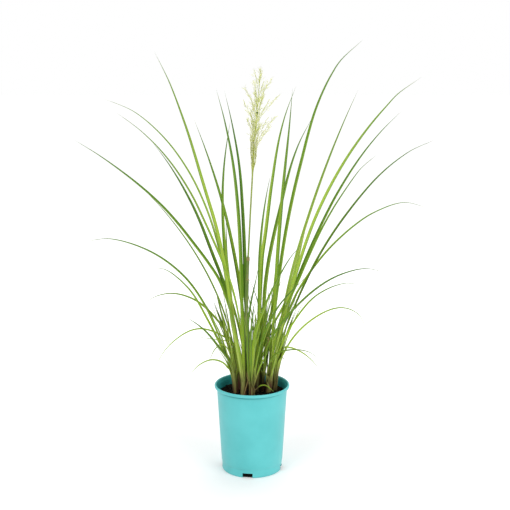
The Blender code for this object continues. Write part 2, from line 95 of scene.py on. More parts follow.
def finished(name, bm, finish=None, sharp=50):
    """The object of a bmesh, shaded smooth up to an angle in degrees."""
    mesh = bpy.data.meshes.new(name)
    bm.to_mesh(mesh)
    bm.free()
    mesh.shade_smooth()
    mesh.set_sharp_from_angle(angle=radians(sharp))
    return shown(name, mesh, finish)


def shown(name, data, finish=None):
    """An object of the scene: a lamp, a camera, or a mesh with its finish."""
    if finish:
        data.materials.append(finish)
    made = bpy.data.objects.new(name, data)
    bpy.context.scene.collection.objects.link(made)
    return made


def arc(centre, width, height, start, end, count):
    """Points on a round or oval arc in a profile's plane, between two angles in degrees."""
    angles = (radians(start + (end - start) * i / (count - 1)) for i in range(count))
    return [(centre[0] + width * cos(a), centre[1] + height * sin(a)) for a in angles]


def wall_radius(height):
    """The outside of the tapered wall."""
    rise = (height - FOOT_ROUNDING) / (NECK_HEIGHT - FOOT_ROUNDING)
    return FOOT_RADIUS + (NECK_RADIUS - FOOT_RADIUS) * rise


def pot_profile():
    profile = [(0.0, UNDER_FLOOR), (STANDING_RING[0], UNDER_FLOOR), (STANDING_RING[1], 0.0)]
    profile += arc((FOOT_RADIUS - FOOT_ROUNDING, FOOT_ROUNDING), FOOT_ROUNDING, FOOT_ROUNDING, -90, 0, 8)
    profile += [(wall_radius(z) - STEP_DEPTH, z) for z in (8 * MM, 16 * MM, STEP_HEIGHT - 0.9 * MM)]
    profile.append((wall_radius(STEP_HEIGHT) - 0.35 * STEP_DEPTH, STEP_HEIGHT - 0.3 * MM))
    profile += [(wall_radius(z), z) for z in np.linspace(STEP_HEIGHT + 0.3 * MM, NECK_HEIGHT - 4 * MM, 9)]
    crease = wall_radius(NECK_HEIGHT) - CREASE_DEPTH
    profile += [(crease + 0.6 * MM, NECK_HEIGHT - 2.2 * MM), (crease, NECK_HEIGHT - 1.2 * MM)]
    profile.append((crease, NECK_HEIGHT + 0.6 * MM))
    profile += arc((RIM_RADIUS - ROLL_WIDTH, POT_HEIGHT - ROLL), ROLL_WIDTH, ROLL, -88, 176, 34)
    profile.append((wall_radius(NECK_HEIGHT) - WALL + 0.5 * MM, NECK_HEIGHT + 0.5 * MM))
    inside = np.linspace(NECK_HEIGHT - 2 * MM, FLOOR + FOOT_ROUNDING, 6)
    profile += [(wall_radius(z) - WALL, z) for z in inside]
    return profile + [(wall_radius(inside[-1]) - WALL - FOOT_ROUNDING, FLOOR), (0.0, FLOOR)]


def cut_notches(pot):
    """Cuts the drainage notches and rounds their edges a little."""
    cutters = []
    for i in range(NOTCHES):
        turn = NOTCH_TURN + i * tau / NOTCHES
        bm = bmesh.new()
        place = Matrix.Rotation(turn, 4, "Z") @ Matrix.Translation((FOOT_RADIUS, 0, 0))
        bmesh.ops.create_cube(bm, size=1.0, matrix=place @ Matrix.Diagonal((*NOTCH_SIZE, 1)))
        cutters.append(finished(f"notch_{i}", bm))
        cut = pot.modifiers.new("notch", "BOOLEAN")
        cut.solver = "EXACT"
        cut.object = cutters[-1]
    rounding = pot.modifiers.new("rounding", "BEVEL")
    rounding.width = 0.35 * MM
    rounding.segments = 2
    rounding.angle_limit = radians(60)
    settle(pot)
    for cutter in cutters:
        bpy.data.objects.remove(cutter)


def settle(piece):
    """Applies a piece's modifiers to its mesh."""
    bpy.context.view_layer.update()
    worked_out = piece.evaluated_get(bpy.context.evaluated_depsgraph_get())
    mesh = bpy.data.meshes.new_from_object(worked_out)
    piece.modifiers.clear()
    piece.data = mesh
    mesh.name = piece.name


class Value:
    """A number or colour that a tree's nodes work out. Sums and products of values add their nodes."""

    def __init__(self, tree, socket):
        self.tree = tree
        self.socket = socket

    def worked(self, operation, other=0.0):
        return add_node(self.tree, "Math", {0: self, 1: other}, operation=operation)

    def __add__(self, other):
        return self.worked("ADD", other)

    def __sub__(self, other):
        return self.worked("SUBTRACT", other)

    def __mul__(self, other):
        return self.worked("MULTIPLY", other)

    def eased(self, low, high, start=0.0, end=1.0):
        """Turned from start to end as this value passes from low to high."""
        inputs = {"Value": self, "From Min": low, "From Max": high, "To Min": start, "To Max": end}
        return add_node(self.tree, "MapRange", inputs, interpolation_type="SMOOTHSTEP")


def add_node(tree, kind, inputs, output=0, **settings):
    """Adds a shader node, with what its sockets take by name or number, and gives one output."""
    node = tree.nodes.new("ShaderNode" + kind)
    for key, value in settings.items():
        setattr(node, key, value)
    for key, value in inputs.items():
        if isinstance(value, Value):
            tree.links.new(value.socket, node.inputs[key])
        else:
            node.inputs[key].default_value = value
    return Value(tree, node.outputs[output])


def layered(colour, *layers):
    """A colour with others laid over it, each by its own mask from 0 to 1."""
    for mask, over in layers:
        colour = add_node(mask.tree, "Mix", {0: mask, 6: colour, 7: over}, 2, data_type="RGBA")
    return colour


def tint(red, green, blue):
    """A colour given 0 to 255, as the linear values that a shader takes."""
    return (*[((c / 255 + 0.055) / 1.055) ** 2.4 for c in (red, green, blue)], 1.0)


def new_group(name, inputs, outputs):
    """An empty group, from its inputs' usual values and its outputs' names, and what its inputs take in."""
    group = bpy.data.node_groups.new(name, "ShaderNodeTree")
    for label, value in inputs.items():
        socket = group.interface.new_socket(label, in_out="INPUT", socket_type="NodeSocketFloat")
        socket.default_value = value
    for label in outputs:
        group.interface.new_socket(label, in_out="OUTPUT", socket_type="NodeSocketFloat")
    given = group.nodes.new("NodeGroupInput").outputs
    return group, [Value(group, given[label]) for label in inputs]


def closed_group(group, *values):
    """A group with its outputs joined, in their order."""
    for value, end in zip(values, group.nodes.new("NodeGroupOutput").inputs):
        group.links.new(value.socket, end)
    return group


def from_group(tree, group, *values):
    """The outputs of a group that is placed in a tree with its own values."""
    node = tree.nodes.new("ShaderNodeGroup")
    node.node_tree = group
    for socket, value in zip(node.inputs, values):
        socket.default_value = value
    return [Value(tree, socket) for socket in node.outputs]


def make_mottle():
    """Soft uneven patches and a fine grain, on Object coordinates: used on plastic, soil and sheaths."""
    group, (patch_scale, grain_scale) = new_group(
        "mottle", {"Patch Scale": 20.0, "Grain Scale": 900.0}, ("Patches", "Grain"))
    place = add_node(group, "TexCoord", {}, "Object")
    patches = add_node(group, "TexNoise", {"Vector": place, "Scale": patch_scale, "Detail": 3.0}, "Fac")
    grain = add_node(group, "TexNoise", {"Vector": place, "Scale": grain_scale, "Detail": 2.0}, "Fac")
    return closed_group(group, patches, grain)


def height_in(tree):
    """The height of each point of a piece."""
    return add_node(tree, "SeparateXYZ", {0: add_node(tree, "TexCoord", {}, "Object")}, 2)


def new_finish(name, roughness, **values):
    """A material whose uniform values sit on the shader's own sockets, and its node tree."""
    made = bpy.data.materials.new(name)
    made.use_nodes = True
    shader = made.node_tree.nodes["Principled BSDF"].inputs
    shader["Roughness"].default_value = roughness
    for key, value in values.items():
        shader[key.replace("_", " ")].default_value = value
    return made, made.node_tree


def coated(finish, colour, relief=None, depth=0.0, strength=1.0, gloss=None):
    """Joins a finish's colour to its shader, and the relief and the uneven gloss of those that have them."""
    tree = finish.node_tree
    worn = {"Base Color": colour, "Roughness": gloss}
    if relief:
        raised = {"Height": relief, "Distance": depth, "Strength": strength}
        worn["Normal"] = add_node(tree, "Bump", raised)
    for name, value in worn.items():
        if value:
            tree.links.new(value.socket, tree.nodes["Principled BSDF"].inputs[name])
    return finish


def pot_plastic():
    """Satin teal plastic, a little uneven in tone and gloss, with painted shade in the groove under the rim.
    """
    made, tree = new_finish("teal_plastic", 0.4, Specular_IOR_Level=0.5)
    patches, grain = from_group(tree, mottle, 14.0, 1400.0)
    # Painted shade: the teal darkens by height round the groove under the roll, where the rim's shadow falls.
    from_groove = (height_in(tree) - (NECK_HEIGHT - 0.8 * MM)).worked("ABSOLUTE")
    teal = layered(
        tint(86, 190, 192),
        (patches.eased(0.3, 0.7), tint(94, 198, 200)),
        (from_groove.eased(2.2 * MM, 0.8 * MM, 0.0, 0.75), tint(26, 104, 106)))
    return coated(made, teal, grain, 0.05 * MM, 0.5, patches.eased(0.2, 0.8, 0.32, 0.42))


def shaded_damp_plastic():
    """The inside of the wall: the same plastic, dulled by damp and painted a darker teal as painted shade,
    with a film of peat that thins upwards, partly a stain and partly painted shade.
    """
    made, tree = new_finish("shaded_damp_teal_plastic", 0.5, Specular_IOR_Level=0.35)
    patches, grain = from_group(tree, mottle, 90.0, 700.0)
    film_and_shade = height_in(tree).eased(POT_HEIGHT - 6 * MM, SOIL_TOP) * grain.eased(0.45, 0.75, 0.0, 0.75)
    # Painted shade: the inside is a darker teal than the outside, and the peat film darkens it more towards
    # the soil.
    teal = layered(
        tint(36, 158, 160),
        (patches.eased(0.3, 0.7), tint(46, 170, 172)),
        (film_and_shade, tint(34, 52, 44)))
    return coated(made, teal, grain, 0.1 * MM, 0.5)


def finish_inside(pot):
    """Gives the inside of the wall, below the roll, the second finish, with its painted shade, and the
    notches' backs the third, a painted shadow.
    """
    for face in pot.data.polygons:
        centre = face.center
        inward = face.normal.x * centre.x + face.normal.y * centre.y < 0
        if (inward or face.normal.z > 0.5) and FLOOR / 2 < centre.z < POT_HEIGHT - ROLL:
            face.material_index = 1
        if not inward and centre.z < 2 * FLOOR and abs(centre.xy.length - NOTCH_BACK) < 0.5 * MM:
            face.material_index = 2


SOIL_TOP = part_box("soil")[1].z
mottle = make_mottle()
pot = turned("pot_shell", pot_profile(), 160)
cut_notches(pot)
pot.data.materials.append(pot_plastic())
pot.data.materials.append(shaded_damp_plastic())
# The notches' backs are painted near black for the shadow inside them.
pot.data.materials.append(new_finish("notch_painted_shadow", 0.8, Base_Color=tint(16, 30, 27))[0])
finish_inside(pot)
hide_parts("pot")
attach(pot, "root")

# The potting mix
# Dark damp peat with crumbs and splinters of composted bark, filled to about 18 mm below the rim and
# sunk a little along the wall, where watering has washed it down.

soil_low, soil_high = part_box("soil")
SOIL_RADIUS = soil_high.x
SOIL_RELIEF = 2.4 * MM
EDGE_SINK = 3.0 * MM
SOIL_GAP = 0.3 * MM  # between the mix and the wall
SOIL_RINGS = 56
CRUMBS = 2600
CRUMB_SIZES = (0.9 * MM, 4.2 * MM)
SPLINTERS = 150
SPLINTER_SIZES = (0.7 * MM, 1.5 * MM)
chance = random.Random(7)
between = chance.uniform


def soil_height(x, y):
    """The lumpy top of the mix: coarse and fine lumps, sunk towards the wall."""
    out = hypot(x, y) / SOIL_RADIUS
    lumps = noise.fractal(Vector((x, y, 0.0)) * 62, 0.9, 2.1, 5)
    return SOIL_TOP - 1.0 * MM + SOIL_RELIEF * lumps - EDGE_SINK * max(0.0, out - 0.72) / 0.28


def make_soil():
    top = [(radius, SOIL_TOP) for radius in np.linspace(0, SOIL_RADIUS, SOIL_RINGS)]
    sides = np.linspace(SOIL_TOP - 6 * MM, soil_low.z + 4 * MM, 6)
    lower = [(wall_radius(z) - WALL - SOIL_GAP, z) for z in sides]
    profile = top + lower + [(lower[-1][0] - 3 * MM, soil_low.z), (0.0, soil_low.z)]
    soil = turned("potting_mix", profile, 150)
    for vert in soil.data.vertices:
        if vert.co.z > SOIL_TOP - 1e-5:
            vert.co.z = soil_height(vert.co.x, vert.co.y)
    return soil


def stamped(name, blank, places, finish):
    """One mesh of a small blank repeated at every place, with a chance value for each copy's tone."""
    corners = np.array([vert.co for vert in blank.verts])
    faces = [[vert.index for vert in face.verts] for face in blank.faces]
    blank.free()
    spots = [np.array(place) for place in places]
    points = np.concatenate([corners @ spot[:3, :3].T + spot[:3, 3] for spot in spots])
    rows = [[corner + i * len(corners) for corner in face] for i in range(len(places)) for face in faces]
    mesh = bpy.data.meshes.new(name)
    mesh.from_pydata(points, [], rows)
    own = [chance.random() for _ in places]
    mesh.attributes.new("chance", "FLOAT", "POINT").data.foreach_set("value", np.repeat(own, len(corners)))
    mesh.shade_smooth()
    return shown(name, mesh, finish)


def turned_any_way():
    return Matrix.Rotation(between(0, tau), 4, Vector(
        (between(-1, 1), between(-1, 1), between(-1, 1) + 1.5)).normalized())


def scattered(count, size, stretch, sunk):
    """Places on the top of the mix: lumps of a size range, stretched and turned, partly sunk."""
    places = []
    for _ in range(count):
        reach = SOIL_RADIUS * 0.985 * sqrt(chance.random())
        turn = between(0, tau)
        x, y = reach * cos(turn), reach * sin(turn)
        big = between(*size) * chance.random() ** 0.5
        scale = Matrix.Diagonal((big * between(*stretch), big, big * between(0.6, 0.9), 1))
        up = soil_height(x, y) + big * sunk
        places.append(Matrix.Translation((x, y, up)) @ turned_any_way() @ scale)
    return places


def lump():
    """A crumb: a ball of 20 faces pushed out of round."""
    bm = bmesh.new()
    bmesh.ops.create_icosphere(bm, subdivisions=1, radius=0.5)
    for vert in bm.verts:
        vert.co *= 0.8 + 0.45 * chance.random()
    return bm


def splinter():
    bm = bmesh.new()
    bmesh.ops.create_cone(bm, cap_ends=True, segments=5, radius1=0.5, radius2=0.25, depth=1.0)
    bmesh.ops.rotate(bm, verts=bm.verts, matrix=Matrix.Rotation(pi / 2, 3, "Y"))
    return bm


def piece_value(tree, name):
    """A value that a piece's own points carry."""
    return add_node(tree, "Attribute", {}, "Fac", attribute_name=name)


def peat(name, dark, light, bits):
    """Damp peat and bark: near black to brown by the copy's chance, with a few pale bits."""
    made, tree = new_finish(name, 0.92, Specular_IOR_Level=0.06)
    patches, grain = from_group(tree, mottle, 160.0, 1500.0)
    brown = layered(
        dark,
        (patches.eased(0.35, 0.65), light),
        (piece_value(tree, "chance").eased(0.55, 0.97), bits),
        (grain.eased(0.3, 0.75, 0.0, 0.6), dark))
    return coated(made, brown, grain, 0.5 * MM)


soil = make_soil()
soil.data.materials.append(peat("damp_peat", tint(8, 7, 5), tint(17, 14, 10), tint(30, 25, 16)))
crumbs = stamped(
    "soil_crumbs", lump(), scattered(CRUMBS, CRUMB_SIZES, (0.9, 1.5), 0.12),
    peat("peat_crumbs", tint(9, 8, 6), tint(22, 18, 12), tint(72, 60, 34)))
splinters = stamped(
    "bark_splinters", splinter(), scattered(SPLINTERS, SPLINTER_SIZES, (3.0, 7.0), 0.4),
    peat("bark", tint(26, 21, 13), tint(58, 47, 28), tint(136, 116, 68)))
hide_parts("soil")
for piece in (soil, crumbs, splinters):
    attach(piece, "root")

# The shoots
# Each shoot is a tight roll of papery leaf sheaths, one inside the other, purple-brown where they come
# out of the soil and pale green higher up. Its youngest leaves are still rolled and end inside the roll.

SHEATH_THICKNESS = 0.32 * MM
HALF_GIRTH = pi * 4 * MM  # half the way round a rolled sheath
GRASS_VALUES = ("across", "along", "chance")  # what each point of a piece of grass carries
shoots = sorted(name for name in frame["nodes"] if name.startswith("shoot"))


def level_rings(node, least):
    """(centre, radius) of the level rings of points that a solid was drawn through, lowest first."""
    points = np.unique(np.array([vert.co for vert in frame["nodes"][node].data.vertices]).round(6), axis=0)
    rings = []
    for z in np.unique(points[:, 2].round(5)):
        ring = points[np.abs(points[:, 2] - z) < 2e-5]
        if len(ring) >= least:
            centre = (ring.min(axis=0) + ring.max(axis=0)) / 2
            rings.append((centre, np.linalg.norm(ring - centre, axis=1).max()))
    return rings


def axis_at(rings, z):
    """The centre and radius of a stem at a height, carried on straight below and above its ends."""
    heights = np.array([centre[2] for centre, _ in rings])
    i = int(np.clip(np.searchsorted(heights, z) - 1, 0, len(rings) - 2))
    share = (z - heights[i]) / (heights[i + 1] - heights[i])
    centre = rings[i][0] + (rings[i + 1][0] - rings[i][0]) * share
    radius = rings[i][1] + (rings[i + 1][1] - rings[i][1]) * np.clip(share, 0, 1)
    return centre, radius


def upright_cone(sides, foot, top):
    """A closed cone or tube one unit long that stands on z = 0, from its radii."""
    bm = bmesh.new()
    raised = Matrix.Translation((0, 0, 0.5))
    bmesh.ops.create_cone(
        bm, cap_ends=True, segments=sides, radius1=foot, radius2=top, depth=1, matrix=raised)
    return bm


def blank_blade(rings, sides):
    """The tube, with its sides cut into rings, that each piece of grass starts from."""
    bm = upright_cone(sides, 1, 1)
    upright = [edge for edge in bm.edges if abs(edge.verts[0].co.z - edge.verts[1].co.z) > 0.5]
    bmesh.ops.subdivide_edges(bm, edges=upright, cuts=rings - 2, use_grid_fill=True)
    return bm


def section(sides):
    """For each point round a thin section: how far across it is, -1 to 1, and its face, 1 up or -1 down."""
    turns = [tau * i / sides for i in range(sides)]
    across = [copysign(abs(cos(turn)) ** 1.3, cos(turn)) for turn in turns]
    face = [0.0 if abs(sin(turn)) < 1e-6 else copysign(1.0, sin(turn)) for turn in turns]
    return list(zip(across, face))


def grass_piece(places, widest, own):
    """A piece of grass from places[ring][side], closed to a point at its last ring, with its values for
    the finish: millimetres across as at its widest, the share along it, and its own chance."""
    rings, sides = len(places), len(places[0])
    bm = blank_blade(rings, sides)
    across, along, chances = [bm.verts.layers.float.new(name) for name in GRASS_VALUES]
    shares = section(sides)
    for vert in bm.verts:
        ring = round(vert.co.z * (rings - 1))
        side = round(atan2(vert.co.y, vert.co.x) / tau * sides) % sides
        vert.co = places[ring][side]
        vert[across] = shares[side][0] * widest / MM
        vert[along] = ring / (rings - 1)
        vert[chances] = own
    tip = [vert for vert in bm.verts if vert[along] > 1 - 0.5 / rings]
    bmesh.ops.pointmerge(bm, verts=tip, merge_co=sum((vert.co for vert in tip), Vector()) / len(tip))
    bmesh.ops.recalc_face_normals(bm, faces=bm.faces)
    return bm


def level(turn):
    """The level direction at a turn round the Z axis."""
    return Vector((cos(turn), sin(turn), 0))


def on_sheath(centre, height, turn, reach, across, face):
    """A point of a sheath's wall round a stem's centre; the wall is thinner at the sheath's edges."""
    wall = reach - face * SHEATH_THICKNESS / 2 * (1 - 0.6 * across ** 4)
    return Vector((centre[0], centre[1], height)) + level(turn) * wall


def above(rise):
    """The height that is so many millimetres above the soil."""
    return SOIL_TOP + rise * MM


def rolled_leaf(axis, turn, share, top, rings=26, twist=0.5, opening=(168, 0.55, 0.8, 0.02)):
    """A young sheath rolled nearly round a stem, at a share of its radius. Its opening is how far round it
    goes to each side, in degrees, the share of its length where it starts to narrow to a free point, how
    roundly it does, and the least that stays."""
    reach, narrowing, power, least = opening
    places = []
    for i in range(rings):
        rise = i / (rings - 1)
        height = above(-4) + (top - above(-4)) * rise
        narrowed = (1 - max(0.0, rise - narrowing) / (1 - narrowing)) ** power
        spread = radians(reach) * narrowed + least
        centre, radius = axis_at(axis, height)
        places.append([
            on_sheath(centre, height, turn + twist * rise + across * spread, radius * share, across, face)
            for across, face in section(16)])
    return places


def joined(name, parts, finish):
    """Several bmeshes as one object."""
    whole = bmesh.new()
    for part in parts:
        mesh = bpy.data.meshes.new("part")
        part.to_mesh(mesh)
        part.free()
        whole.from_mesh(mesh)
        bpy.data.meshes.remove(mesh)
    return finished(name, whole, finish, sharp=70)


def make_veins():
    """Fine lengthwise veins on a piece of grass, drawn from its own values, with soft uneven streaks."""
    group, (spacing, streak) = new_group(
        "veins", {"Spacing": 0.42, "Streak": 1.0}, ("Veins", "Streaks", "Bands", "Midrib"))
    across, along, own = (piece_value(group, name) for name in GRASS_VALUES)
    wave = (across * tau).worked("DIVIDE", spacing).worked("COSINE") * 0.5 + 0.5
    noises = []
    for detail, *place in (
            (4.0, across * (streak * 1.6), along * 5.0, own * 40.0),
            (2.0, across * 0.42, along * 2.2, own * 90.0)):
        stretched = add_node(group, "CombineXYZ", dict(enumerate(place)))
        noises.append(add_node(
            group, "TexNoise", {"Vector": stretched, "Scale": 1.0, "Detail": detail}, "Fac"))
    return closed_group(group, wave, *noises, across.worked("ABSOLUTE").eased(0.42, 0.12))


def make_foot_shade():
    """Painted shade on the feet: strongest at the soil and in the middle of the clump, where the shoots shade
    each other.
    """
    group, (least, most) = new_group("foot_shade", {"Least": 0.3, "Most": 0.85}, ("Foot Shade",))
    place = add_node(group, "TexCoord", {}, "Object")
    flat = add_node(group, "VectorMath", {0: place, 1: (1.0, 1.0, 0.0)}, operation="MULTIPLY")
    out = add_node(group, "VectorMath", {0: flat}, "Value", operation="LENGTH")
    low = height_in(group).eased(above(62), above(4))
    return closed_group(group, out.eased(36 * MM, 22 * MM, least, most) * low)


def sheath_finish(name, foot, middle, top, foot_height, top_height, worn=0.35):
    """Papery sheath: foot colour at the soil, olive on some, then the middle and the top colour, with dark
    and pale bands along it."""
    made, tree = new_finish(name, 0.5, Specular_IOR_Level=0.3)
    lines, streaks, bands, _ = from_group(tree, veins, 0.7, 1.2)
    patches, _ = from_group(tree, mottle, 60.0, 1200.0)
    wander = height_in(tree) + streaks.eased(0.2, 0.8, -16 * MM, 16 * MM)
    colour = layered(
        foot,
        (piece_value(tree, "chance").eased(0.3, 0.7), OLIVE_FOOT),
        (wander.eased(SOIL_TOP, foot_height), middle),
        (wander.eased(foot_height, top_height), top),
        (bands.eased(0.52, 0.66, 0.0, 1.6 * worn), DARK_BAND),
        (bands.eased(0.48, 0.34, 0.0, 1.2 * worn), PALE_BAND),
        (lines.eased(0.0, 1.0, 0.0, 0.8 * worn), tint(58, 44, 30)),
        (patches.eased(0.5, 0.75, 0.0, worn), tint(168, 150, 98)),
        # Painted shade darkens the feet near the soil and in the middle of the clump.
        (from_group(tree, foot_shade)[0], FOOT_SHADE_COLOUR))
    return coated(made, colour, lines, 0.08 * MM, 0.7)


def foot_chance(axis):
    """A piece's own chance, kept low on the left side of the clump, where the feet are purple."""
    return chance.random() * (0.35 if axis[0][0][0] < PURPLE_SIDE else 1.0)


veins = make_veins()
foot_shade = make_foot_shade()
# The colour of the painted shade on the feet.
FOOT_SHADE_COLOUR = tint(26, 20, 12)
SHEATH_FOOT = tint(112, 70, 56)
OLIVE_FOOT = tint(124, 110, 62)
SHEATH_MIDDLE = tint(128, 130, 66)
SHEATH_TOP = tint(122, 156, 56)
DARK_BAND = tint(74, 56, 40)
PALE_BAND = tint(178, 184, 104)
PURPLE_SIDE = -25 * MM  # the shoots left of this have the reddest feet
sheath = sheath_finish("papery_sheath", SHEATH_FOOT, SHEATH_MIDDLE, SHEATH_TOP, above(34), above(92))
stem_axes = {name: level_rings(name, 8) for name in shoots}
for name, axis in stem_axes.items():
    top = axis[-1][0][2]
    rolls = []
    for share, shorter in ((0.72, 0.0), (0.86, 14 * MM), (1.0, 30 * MM)):
        turn = between(0, tau)
        places = rolled_leaf(axis, turn, share, top - shorter)
        rolls.append(grass_piece(places, HALF_GIRTH, foot_chance(axis)))
    roll = joined(f"{name}_roll", rolls, sheath)
    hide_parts(name)
    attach(roll, "root")

# The flower stem
# A round straw, wrapped over its lower half by the long sheath of its last leaf. The sheath ends in a
# narrow brown collar, and the bare straw above it carries the plume.

stem_axis = level_rings("flower_stem", 8)
stem_axes["flower_stem"] = stem_axis
SHEATH_END = 499 * MM
STRAW_RADIUS = 2.45 * MM
STRAW_JOINT = 12 * MM  # how far the straw runs up inside the plume's stalk


def tube(centres, radii, sides):
    """A round closed tube through centres, with the values that its finish reads."""
    ways = [level(tau * i / sides) for i in range(sides)]
    places = [[Vector(centre) + way * radius for way in ways] for centre, radius in zip(centres, radii)]
    return grass_piece(places, pi * radii[0], chance.random())


def straw_tube():
    low = above(-4)
    high = stem_axis[-1][0][2] + STRAW_JOINT
    heights = np.linspace(low, high, 60)
    centres = [axis_at(stem_axis, z)[0] for z in heights]
    radii = [STRAW_RADIUS * (1.0 - 0.22 * (z - low) / (high - low)) for z in heights]
    return tube(centres, radii, 14)


def collar(height, length):
    """A dry, slightly frayed ring where a sheath ends."""
    centre, radius = axis_at(stem_axis, height)
    bm = bmesh.new()
    bmesh.ops.create_cone(
        bm, segments=20, radius1=radius * 1.04, radius2=radius * 0.88, depth=length,
        matrix=Matrix.Translation(centre))
    for vert in bm.verts:
        if vert.co.z > centre[2]:
            vert.co.z += between(-0.25, 0.25) * length
    bmesh.ops.solidify(bm, geom=bm.faces, thickness=0.25 * MM)
    bmesh.ops.recalc_face_normals(bm, faces=bm.faces)
    return bm


def collar_finish():
    made, tree = new_finish("dry_collar", 0.7)
    patches, grain = from_group(tree, mottle, 700.0, 2600.0)
    brown = layered(tint(132, 114, 66), (patches.eased(0.3, 0.7), tint(160, 150, 92)))
    return coated(made, brown, grain, 0.1 * MM)


straw = finished("flower_straw", straw_tube(), sheath_finish(
    "green_straw", tint(132, 158, 70), tint(128, 156, 66), tint(150, 164, 78), 0.5, 0.68, worn=0.12))
wraps = []
for turn, share, top in ((2.4, 0.84, SHEATH_END + 6 * MM), (5.2, 1.0, SHEATH_END - 48 * MM)):
    places = rolled_leaf(stem_axis, turn, share, top, 70, 0.0, (172, 0.93, 0.7, 0.03))
    wraps.append(grass_piece(places, HALF_GIRTH, chance.random()))
stem_sheath = joined("flower_stem_sheath", wraps, sheath_finish(
    "stem_sheath", tint(134, 114, 70), tint(132, 140, 70), tint(106, 142, 62), above(40), above(130)))
collars = [collar(SHEATH_END - 3 * MM, 8 * MM), collar(SHEATH_END - 49 * MM, 2.6 * MM)]
ring = joined("sheath_collar", collars, collar_finish())
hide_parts("flower_stem")
for piece in (straw, stem_sheath, ring):
    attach(piece, "root")

# The leaves
# Long narrow blades with a raised midrib, folded lengthwise, each growing from the sheath at its foot.
# They arch out from the shoots; one half of each is painted lighter, as if the light caught it, and
# their tips dry to a pale thread.

LEAF_RINGS = 72
LEAF_SIDES = 20
LAST_RINGS = (LEAF_RINGS - 3.5, LEAF_RINGS - 1)  # over these a blade draws in to its point
LEAST_HALF = 0.62 * MM  # half the width of a blade just before its point
HALF_THICK = 0.13 * MM  # half the thickness of a blade beside its midrib
RIB_RAISED = 0.30 * MM  # how far the midrib stands out underneath
RIB_SUNK = 0.05 * MM  # and how deep its groove is on top
LOWEST_COLLAR = 46  # where a leaf starts to leave its sheath, in millimetres above the soil
COLLAR_RANGE = 38
OPENS_OVER = 42 * MM  # the height over which a sheath opens into its blade
LETS_GO = (8.4 * MM, 13.5 * MM)  # how far from its shoot's middle a foot begins to leave it, and has left
LAYER_GAPS = (0.9 * MM, 0.42 * MM)  # from a shoot to its first leaf's foot, and from one foot to the next
MOST_ROUND = 2.6  # how far a foot reaches round its shoot to each side at most, in radians
DRAWN_IN = 80 * MM  # the height over which a foot draws in to its shoot by a fifth
RIB_FADES = 1.1 * MM  # half the width of a blade below which its midrib thins out
leaves = sorted(name for name in frame["nodes"] if name.startswith("leaf"))
tones = {row["node"]: row["material_slot"] for row in frame["record"]["subparts"]}


def next_layer(layer, seen):
    """The points one edge on from a layer, without those seen before."""
    beside = {edge.other_vert(vert) for vert in layer for edge in vert.link_edges}
    return sorted(beside - set(seen), key=lambda vert: vert.index)


def solid_mesh(node):
    """The mesh of a solid, its loose triangles merged."""
    bm = bmesh.new()
    bm.from_mesh(frame["nodes"][node].data)
    bmesh.ops.remove_doubles(bm, verts=bm.verts, dist=1e-6)
    return bm


def leaf_stations(node):
    """The rings of a leaf's solid from foot to tip, and its tip: the tip is the farthest point where only
    four edges meet, and the rings are the layers of four points between it and the foot."""
    bm = solid_mesh(node)
    feet = [Vector(axis[0][0]) for axis in stem_axes.values()]
    foot = min(bm.verts, key=lambda vert: min((vert.co - place).length for place in feet))
    steps, layer = {foot: 0}, [foot]
    while layer:
        layer = next_layer(layer, steps)
        steps.update(dict.fromkeys(layer, len(steps)))
    tip = max((vert for vert in bm.verts if len(vert.link_edges) == 4), key=steps.get)
    seen, layer, rings = {tip}, [tip], []
    while layer:
        layer = next_layer(layer, seen)
        seen.update(layer)
        if len(layer) == 4:
            rings.insert(0, [vert.co.copy() for vert in layer])
    end = tip.co.copy()
    bm.free()
    middles = [sum(ring, Vector()) / 4 for ring in rings] + [end]
    return [in_order(ring, middles[i + 1] - middles[i]) for i, ring in enumerate(rings)], end


def in_order(ring, way):
    """A ring's four corners as edge, groove, edge, keel, told apart by their distances and the leaf's way."""
    pairs = [(a, b) for i, a in enumerate(ring) for b in ring[i + 1:]]
    one, two = max(pairs, key=lambda pair: (pair[0] - pair[1]).length)
    groove, keel = [corner for corner in ring if corner is not one and corner is not two]
    middle = (one + two) / 2
    if (keel - middle).length < (groove - middle).length:
        groove, keel = keel, groove
    if way.cross(one - two).dot(groove - keel) < 0:
        one, two = two, one
    return [one, groove, two, keel]


def curve_through(points, at):
    """Points of one smooth curve through the given ones, read at numbers counted in them."""
    points = np.array(points)
    slopes = np.gradient(points, axis=0)
    i = np.clip(at.astype(int), 0, len(points) - 2)
    t = (at - i)[:, None]
    near, far = (1 + 2 * t) * (1 - t) ** 2, t * t * (3 - 2 * t)
    leave, arrive = t * (1 - t) ** 2, t * t * (t - 1)
    return near * points[i] + far * points[i + 1] + leave * slopes[i] + arrive * slopes[i + 1]


def smooth(value, low, high):
    share = min(1.0, max(0.0, (value - low) / (high - low)))
    return share * share * (3 - 2 * share)


